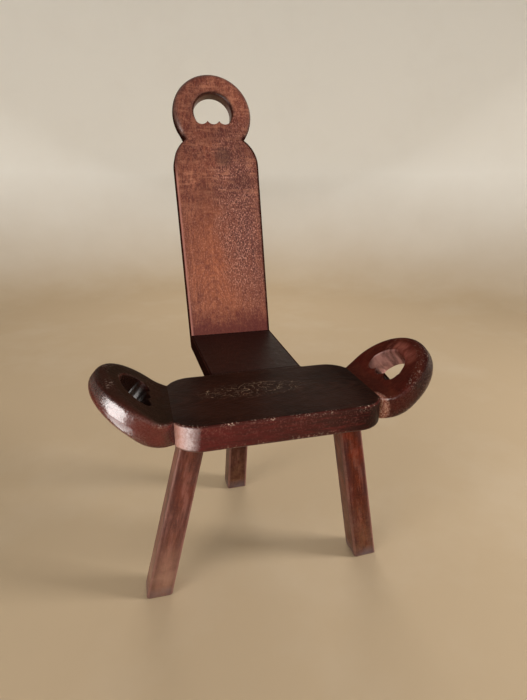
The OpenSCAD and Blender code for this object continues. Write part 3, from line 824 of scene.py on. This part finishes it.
def handle_marks(n, colour, plain, axes, near, speck):
    """Crimson patches, worn places on the right, and painted shade, bounce light and highlights by zone."""
    out, back, up = n.normal()
    x, y, z = n.split(plain)
    hole = hand_hole(n, plain)
    wall = n.times(n.ramp(near, 0.75, 0.95), hole)
    # Painted shade: faces that look up turn dark, less where they face front or left.
    sides = n.plus(n.ramp(back, -0.2, -0.8, 0.0, -0.25), n.ramp(out, -0.15, -0.6, 0.0, -0.3))
    top = n.tint(n.ramp(x, -0.1, 0.1), (33, 25, 18), (60, 27, 20))
    worn = n.times(n.ramp(n.noise(plain, 34.0, 5.0, 0.7), 0.45, 0.66, 0.0, 0.5), n.ramp(x, 0.0, 0.1),
                   n.ramp(up, 0.2, 0.5))
    # Painted bounce light from the floor, on the left handle's lower flank.
    flank_bounce_light = n.times(n.ramp(x, -0.12, -0.165), n.ramp(up, 0.6, 0.0), n.ramp(hole, 0.0, 1.0, 0.7, 0.0))
    # Painted light on the right handle's front side next to the joint, where light from the left falls.
    spot = n.spot((x, y, z), (seat_w / 2, seat_mid_y - joint_half, seat_low + 0.018), (0.013, 0.03, 0.024))
    pale = n.tint(n.ramp(speck, 0.44, 0.6), (150, 86, 70), (216, 166, 146))
    streaks = n.noise(n.stretch(plain, 1, 3, 1), 36.0, 4.0, 0.6)
    # Painted highlight on the far wall of the right hand hole.
    rubbed_and_highlight = n.times(wall, n.ramp(x, 0.0, 0.01), n.ramp(y, seat_mid_y + 0.004, seat_mid_y + 0.016))
    # Painted highlight on the right handle's rim above its hole.
    over = n.ramp(n.spot((x, y, z), (0.209, seat_mid_y - 0.004, 0.394), (0.02, 0.036, 0.016)), 1.3, 0.4)
    return n.coats(
        colour,
        (n.ramp(n.noise(plain, 26.0, 4.0, 0.65), 0.45, 0.62, 0.0, 0.5), (94, 27, 22)),
        (n.ramp(n.plus(up, n.times(speck, 0.25), sides), 0.3, 0.75, 0.0, 0.9), top),
        (worn, (92, 44, 31)),
        # Painted shade on the right handle's outer side.
        (n.times(n.ramp(x, 0.1, 0.2, 0.0, 0.88), n.ramp(out, -0.3, 0.2)), (26, 7, 6)),
        (flank_bounce_light, (102, 24, 22)),
        # Painted shade in the left hand hole.
        (n.times(wall, n.ramp(x, 0.0, -0.01, 0.0, 0.95)), (27, 17, 12)),
        (n.ramp(spot, 1.2, 0.5, 0.0, 0.92), pale),
        (n.times(rubbed_and_highlight, n.ramp(streaks, 0.36, 0.6, 0.25, 0.95)), (200, 150, 142)),
        (n.times(over, n.ramp(streaks, 0.36, 0.6, 0.1, 0.6)), (150, 88, 76)))


def handle_shine(n, plain, way, near):
    """Dull on top, below, behind, at the far end and in the holes, and the right handle less glossy than
    the left."""
    return n.times(n.ramp(way[2], 0.5, 0.7, 1.0, 0.06), n.ramp(way[2], -0.7, -0.3, 0.2, 1.0),
                   n.ramp(way[1], -0.3, 0.0, 1.0, 0.1), n.ramp(n.split(plain)[0], 0.1, 0.15, 1.0, 0.35),
                   n.ramp(hand_hole(n, plain), 0.0, 1.0, 1.0, 0.25),
                   n.ramp(n.math("ABSOLUTE", way[0]), 0.6, 0.88, 1.0, 0.12))


handle_finish = stained_wood(
    "handle_stain", (34, 12, 10), (68, 25, 20), (98, 44, 33), (50, 20, 16),
    (84, 36, 30), (200, 170, 156), rim_share=0.15, arris_share=0.25, chip_share=0.3, relief=1.5,
    gloss=(0.21, 0.35), specular=0.5, coat=0.62, shine=handle_shine, extra=handle_marks)
for name in ("right_ring_handle", "left_ring_handle"):
    dress(bpy.data.objects[name], handle_finish)

# %% [markdown]
# ## Plank
#
# The front of the plank is rubbed to a lighter orange brown low in the middle. Its right half has a grey
# bloom with hard pale and dark specks, its foot is blotched dark red, and its sides are nearly black,
# with a thin painted highlight along the left border of the face and its arris. The rounded mouth of the
# finger hole carries a painted reflection. Growth rings form an arch above the foot. All of it could be
# painted by hand, but layers with a place, a reach and a noise can be changed one by one.

# %% Plank
def plank_marks(n, colour, plain, axes, near, speck):
    """Warm middle with faint arches, grey bloom on the right, scuffs across, a smudge and a dark foot."""
    along, over = axes[:2]
    grain = n.own("grain")
    warm = n.spot((over, along), (-0.012, 0.12), (0.066, 0.17))
    cells = n.noise(plain, 80.0, 5.0, 0.7)
    strands = n.noise(n.stretch(grain, 1, 8, 8), 18.0, 5.0, 0.7)
    side = n.plus(over, 0.022, n.times(n.noise(plain, 30.0, 3.0), 0.012))
    arch = n.plus(along, n.times(side, side, 60.0), n.times(n.noise(plain, 14.0, 3.0), 0.03))
    arch = n.times(n.ramp(n.math("SINE", n.times(arch, 2 * pi / 0.019)), 0.3, 1.0),
                   n.ramp(n.spot((over, along), (-0.026, 0.1), (0.034, 0.075)), 1.1, 0.5, 0.0, 0.4))
    drift = n.plus(over, n.times(n.noise(plain, 20.0, 5.0, 0.65), 0.09))
    bloom = n.times(n.ramp(n.spot((drift, along), (0.086, 0.25), (0.05, 0.18)), 1.5, 0.1),
                    n.ramp(cells, 0.3, 0.6, 0.35, 1.0))
    coarse = n.noise(n.stretch(grain, 1, 1.7, 1), 250.0, 3.0, 0.7)
    scuff = n.times(n.noise(n.stretch(plain, 1, 1, 6), 30.0, 4.0, 0.7), n.ramp(cells, 0.35, 0.6, 0.7, 1.1))
    smudge = n.plus(n.spot((over, along), (0.014, 0.355), (0.02, 0.024)), n.times(speck, 0.6))
    low = n.plus(along, n.times(n.noise(plain, 90.0, 4.0, 0.75), 0.09))
    gloom = n.times(n.ramp(along, 0.2, 0.3, 0.0, 0.6),
                    n.ramp(n.math("ABSOLUTE", n.plus(along, -head_l)), 0.0, 0.03, 0.7, 1.0),
                    n.ramp(n.noise(plain, 16.0, 4.0, 0.6), 0.36, 0.6, 0.9, 0.15),
                    n.ramp(n.spot((over, along), (0.05, head_l), (0.035, 0.05)), 1.2, 0.4, 1.0, 0.5))
    return n.coats(
        colour,
        (n.ramp(warm, 1.3, 0.0, 0.0, 0.5), (172, 98, 64)),
        (n.ramp(cells, 0.5, 0.36, 0.0, 0.55), (92, 34, 27)),
        (n.ramp(strands, 0.48, 0.36, 0.0, 0.35), (84, 34, 28)),
        (n.ramp(strands, 0.52, 0.66, 0.0, 0.4), (176, 108, 80)),
        (arch, (96, 34, 26)),
        (n.times(bloom, 0.6), (84, 50, 53)),
        (n.times(n.ramp(coarse, 0.53, 0.62), n.ramp(bloom, 0.0, 1.0, 0.28, 0.98)), (200, 146, 130)),
        (n.times(n.ramp(coarse, 0.48, 0.38), n.ramp(bloom, 0.0, 1.0, 0.26, 0.96)), (46, 19, 18)),
        (n.times(n.ramp(scuff, 0.46, 0.62), n.ramp(along, 0.2, 0.3, 0.0, 0.5)), (184, 124, 98)),
        (n.ramp(smudge, 1.3, 0.6, 0.0, 0.5), (74, 52, 44)),
        (n.ramp(low, 0.1, 0.054, 0.0, 0.82), (82, 24, 25)),
        (gloom, (68, 30, 24)))


def head_hole(n, up, over, middle=head_l):
    """The zone of the finger hole."""
    return n.ramp(n.spot((up, over), (middle, 0.0), (0.04, 0.04)), 1.0, 0.8)


def plank_rim(n, along, over, through):
    """Almost black sides, a painted highlight at the face's left border, a red-brown finger hole wall."""
    # Painted highlight along the left border of the face.
    face = n.times(n.ramp(over, 0.02, -0.02), n.ramp(through, 0.97 * back_th, 0.995 * back_th),
                   n.ramp(along, shoulder_l - 0.03, shoulder_l + 0.01, 1.0, 0.2))
    return n.coats((26, 10, 8), (face, (176, 120, 108)), (head_hole(n, along, over), (96, 46, 34)))


def plank_arris(n, along, over, through):
    """Painted highlight on the front arris's left, painted reflection in the hole's mouth, the rest dark.
    """
    # Painted highlight along the left front arris.
    worn = n.times(n.ramp(over, 0.02, -0.02), n.ramp(through, 0.95 * back_th, 0.985 * back_th),
                   n.ramp(along, head_l - 0.06, head_l - 0.02, 1.0, 0.3))
    # The finger hole's rounded mouth is painted pale as a reflection.
    return n.coats((36, 14, 11), (worn, (70, 36, 31)), (head_hole(n, along, over), (178, 106, 84)))


def plank_shine(n, plain, way, near):
    """The sides aren't polished, but fingers have polished the hole."""
    place = n.split(plain)
    return n.math("MAXIMUM", dull_sides(n, plain, way, near),
                  head_hole(n, place[2], place[0], seat_h + head_l * cos(back_lean)))


back_finish = stained_wood(
    "plank_stain", (86, 40, 32), (126, 67, 50), (154, 94, 70), plank_rim, plank_arris,
    (196, 158, 146), apex=(0.13, -0.034), ring_share=0.6, rim_share=0.97, arris_share=0.75,
    chip_share=0.2, specular=0.35, coat=0.1, shine=plank_shine, extra=plank_marks)
dress(plank, back_finish)
dress(plugs, back_finish)

# %% [markdown]
# ## Legs
#
# The legs are duller: a red-brown with an orange glow high up, mauve grey along their arrises and scuffed
# grey at the feet. Their arrises are rubbed and carry painted highlights as soft pale lines. One finish
# serves all three, and where a leg stands decides which is painted lighter for the light from the left and
# which is painted dark as shade, so that nothing has to be made three times.

# %% Legs
def leg_marks(n, colour, plain, axes, near, speck):
    """Warm faces high up, mauve edges, painted light on the left leg, painted shade on the rear one,
    scuffed feet.
    """
    x, y, height = n.split(plain)
    left = n.ramp(x, -0.06, -0.12)
    cloudy = n.noise(plain, 20.0, 4.0, 0.65)
    strands = n.noise(n.stretch(n.own("grain"), 1, 6, 6), 15.0, 5.0, 0.7)
    scuff = n.ramp(n.noise(plain, 60.0, 5.0, 0.75), 0.38, 0.6, 0.25, 1.0)
    left_foot = n.times(n.ramp(x, -0.1, -0.14), n.ramp(height, 0.12, 0.04))
    return n.coats(
        colour,
        (n.times(n.ramp(cloudy, 0.44, 0.6), n.ramp(height, 0.1, 0.28, 0.0, 0.75)), (124, 46, 24)),
        (n.times(n.ramp(near, 0.1, 0.7), n.ramp(cloudy, 0.64, 0.4, 0.0, 0.75)), (76, 46, 46)),
        # Painted light: the left leg is lighter for the light from the left.
        (n.times(left, n.ramp(height, 0.2, 0.05, 0.22, 0.4)), (160, 118, 110)),
        # Painted shade on the rear leg.
        (n.ramp(y, -0.08, 0.02, 0.0, 0.82), (38, 9, 7)),
        (n.ramp(strands, 0.5, 0.38, 0.0, 0.35), (58, 22, 19)),
        # Painted light: pale strands are stronger on the left leg.
        (n.times(n.ramp(strands, 0.5, 0.62), n.ramp(left, 0.0, 1.0, 0.25, 0.55)), (158, 106, 96)),
        (n.times(n.ramp(height, 0.15, 0.0, 0.0, 0.8), scuff), (126, 88, 66)),
        # The left foot is scuffed, and painted paler still for light from the left.
        (n.times(left_foot, n.ramp(cloudy, 0.38, 0.6, 0.15, 0.6)), (178, 138, 120)),
        (n.times(n.ramp(height, 0.026, 0.006, 0.0, 0.75), n.ramp(cloudy, 0.4, 0.55, 0.4, 1.0)),
         (108, 96, 100)))


# The pale arris colour is rubbing and a painted highlight.
leg_finish = stained_wood(
    "leg_stain", (54, 19, 15), (94, 37, 24), (124, 63, 39), (66, 34, 34),
    (150, 108, 98), (190, 160, 146), arch=900.0, ring_gap=0.05, rim_share=0.3, arris_share=0.6,
    chip_share=0.15, specular=0.12, extra=leg_marks)
for leg in legs:
    dress(leg, leg_finish)

# %% [markdown]
# ## Hidden joinery
#
# Dowels and screws are never seen in the finished stool, but they are real pieces, so their CAD shapes
# stay and get their own finish: bare turned beech for the dowels, plain steel for the screws. Only their
# material slots change, because a CAD piece keeps its mesh.

# %% Dowels and screws
dowel_finish = stained_wood(
    "turned_beech", (150, 112, 72), (186, 148, 102), (206, 172, 128), (150, 112, 72),
    (214, 184, 142), (214, 184, 142), own=False, mottle=0.2, gloss=(0.5, 0.6))
n = Nodes("plain_steel")
brushed = n.ramp(n.noise(n.stretch(n.place(), 1, 1, 14), 90.0, 3.0, 0.6), 0.3, 0.7, 0.25, 0.45)
steel = n.finish(Base_Color=srgb(168, 166, 160), Metallic=1.0, Roughness=brushed)
for node, finish in (("left_handle_dowels", dowel_finish), ("right_handle_dowels", dowel_finish),
                     ("tail_dowels", dowel_finish), ("backrest_screws", steel)):
    paint(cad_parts[node], finish)

# %% [markdown]
# ## Studio
#
# A plain pale cove: a floor disc that curves up into a wall all round, so that every side shows the same
# background. It is turned from a profile: straight out along the floor, a quarter circle, then straight
# up. The floor is a little warmer than the wall, as in the photograph. A flat plane would end in a hard
# line behind the stool.

# %% Cove
floor_r, bend, wall_top, below_soles = 2.0, 0.9, 3.2, 0.0002
turn = np.linspace(0, pi / 2, 14)
profile = np.concatenate([[[0, 0], [0.6, 0], [1.4, 0]],
                          np.stack([floor_r + bend * np.sin(turn), bend - bend * np.cos(turn)], -1),
                          [[floor_r + bend, 2.0], [floor_r + bend, wall_top]]])
cove_phi = np.linspace(0, 2 * pi, 96, endpoint=False)[None, :]
cove_points = np.stack([profile[:, :1] * np.cos(cove_phi), profile[:, :1] * np.sin(cove_phi),
                        np.broadcast_to(profile[:, 1:], (len(profile), 96)) - below_soles], -1)
cove = make_piece("cove", [flat_sheet(cove_points, wrap=True)], crease=180)
n = Nodes("cove_paint")
plain = n.place()
paler = n.plus(n.ramp(n.noise(plain, 2.5, 5.0, 0.6), 0.3, 0.7, -0.04, 0.04),
               n.ramp(n.split(plain)[2], 0.0, 0.7))
cove_paint = n.finish(Base_Color=n.tint(paler, (174, 154, 127), (242, 240, 234)), Roughness=0.9,
                      Specular_IOR_Level=0.0)
cove.data.materials.append(cove_paint)

# %% [markdown]
# ## Light
#
# In the photograph the gloss of the left handle mirrors something bright and low on the left, such as an
# open door, while the shadows fall to the left from broad light on the right. So there are large soft
# lamps on the left, right and behind, which gloss doesn't show, and two cards on the left that only gloss
# shows: one for the door and one on the floor for the sunlight that falls through it. The cards light
# nothing, so the floor has no bright spot.

# %% Lamps
WARM_WHITE = (1.0, 0.98, 0.95)


def soft_lamp(name, at, aim, size, watts, card=False):
    """A rectangular lamp at a place, turned to face a point and left out of the camera's view. A card is
    seen in gloss alone, any other lamp everywhere but in gloss."""
    lamp = bpy.data.lights.new(name, "AREA")
    lamp.shape, lamp.size, lamp.size_y, lamp.energy = "RECTANGLE", size[0], size[1], watts
    lamp.color = WARM_WHITE
    stand = bpy.data.objects.new(name, lamp)
    stand.location = at
    stand.rotation_euler = (Vector(aim) - Vector(at)).to_track_quat("-Z", "Y").to_euler()
    stand.visible_camera, stand.visible_glossy, stand.visible_diffuse = False, card, not card
    bpy.context.collection.objects.link(stand)


soft_lamp("door_card", (-1.25, -1.02, 0.54), (-0.1, -0.15, 0.40), (1.05, 1.0), 44, card=True)
soft_lamp("sun_card", (-0.85, -0.55, 0.01), (-0.85, -0.55, 1.0), (0.8, 0.8), 9, card=True)
soft_lamp("left_soft", (-1.75, -1.45, 1.45), (0.0, -0.1, 0.40), (1.4, 1.2), 27)
soft_lamp("right_soft", (2.0, -1.0, 1.25), (0.0, 0.0, 0.35), (0.6, 0.6), 46)
soft_lamp("back_soft", (0.5, 2.1, 1.7), (0.0, 0.0, 0.40), (1.4, 1.2), 26)
world = bpy.data.worlds.new("room")
world.use_nodes = True
sky = world.node_tree.nodes["Background"].inputs
sky["Color"].default_value = (*WARM_WHITE, 1.0)
sky["Strength"].default_value = 0.22
bpy.context.scene.world = world
bpy.context.scene.view_settings.view_transform = "Standard"

# %% [markdown]
# ## Camera
#
# The photograph's camera was found from the stool's own edges: a phone's wide lens about 95 cm away, 64
# cm above the floor, looking 19.4 degrees down and turned 15 degrees to the right. Placed by eye it would
# never show the legs' spread and the lean of the plank right at once.

# %% Camera
heading, pitch = atan2(0.2566, 0.9665), radians(19.40)
sensor_w, focal_px, photo_w = 36.0, 480.0, 527.0
lens = bpy.data.cameras.new("camera")
lens.sensor_fit, lens.sensor_width, lens.lens = "HORIZONTAL", sensor_w, sensor_w * focal_px / photo_w
lens.clip_start = 0.01
camera = bpy.data.objects.new("camera", lens)
camera.location = (-0.1756, -0.8220, 0.6442)
camera.rotation_euler = (pi / 2 - pitch, 0.0, -heading)
bpy.context.collection.objects.link(camera)
bpy.context.scene.camera = camera
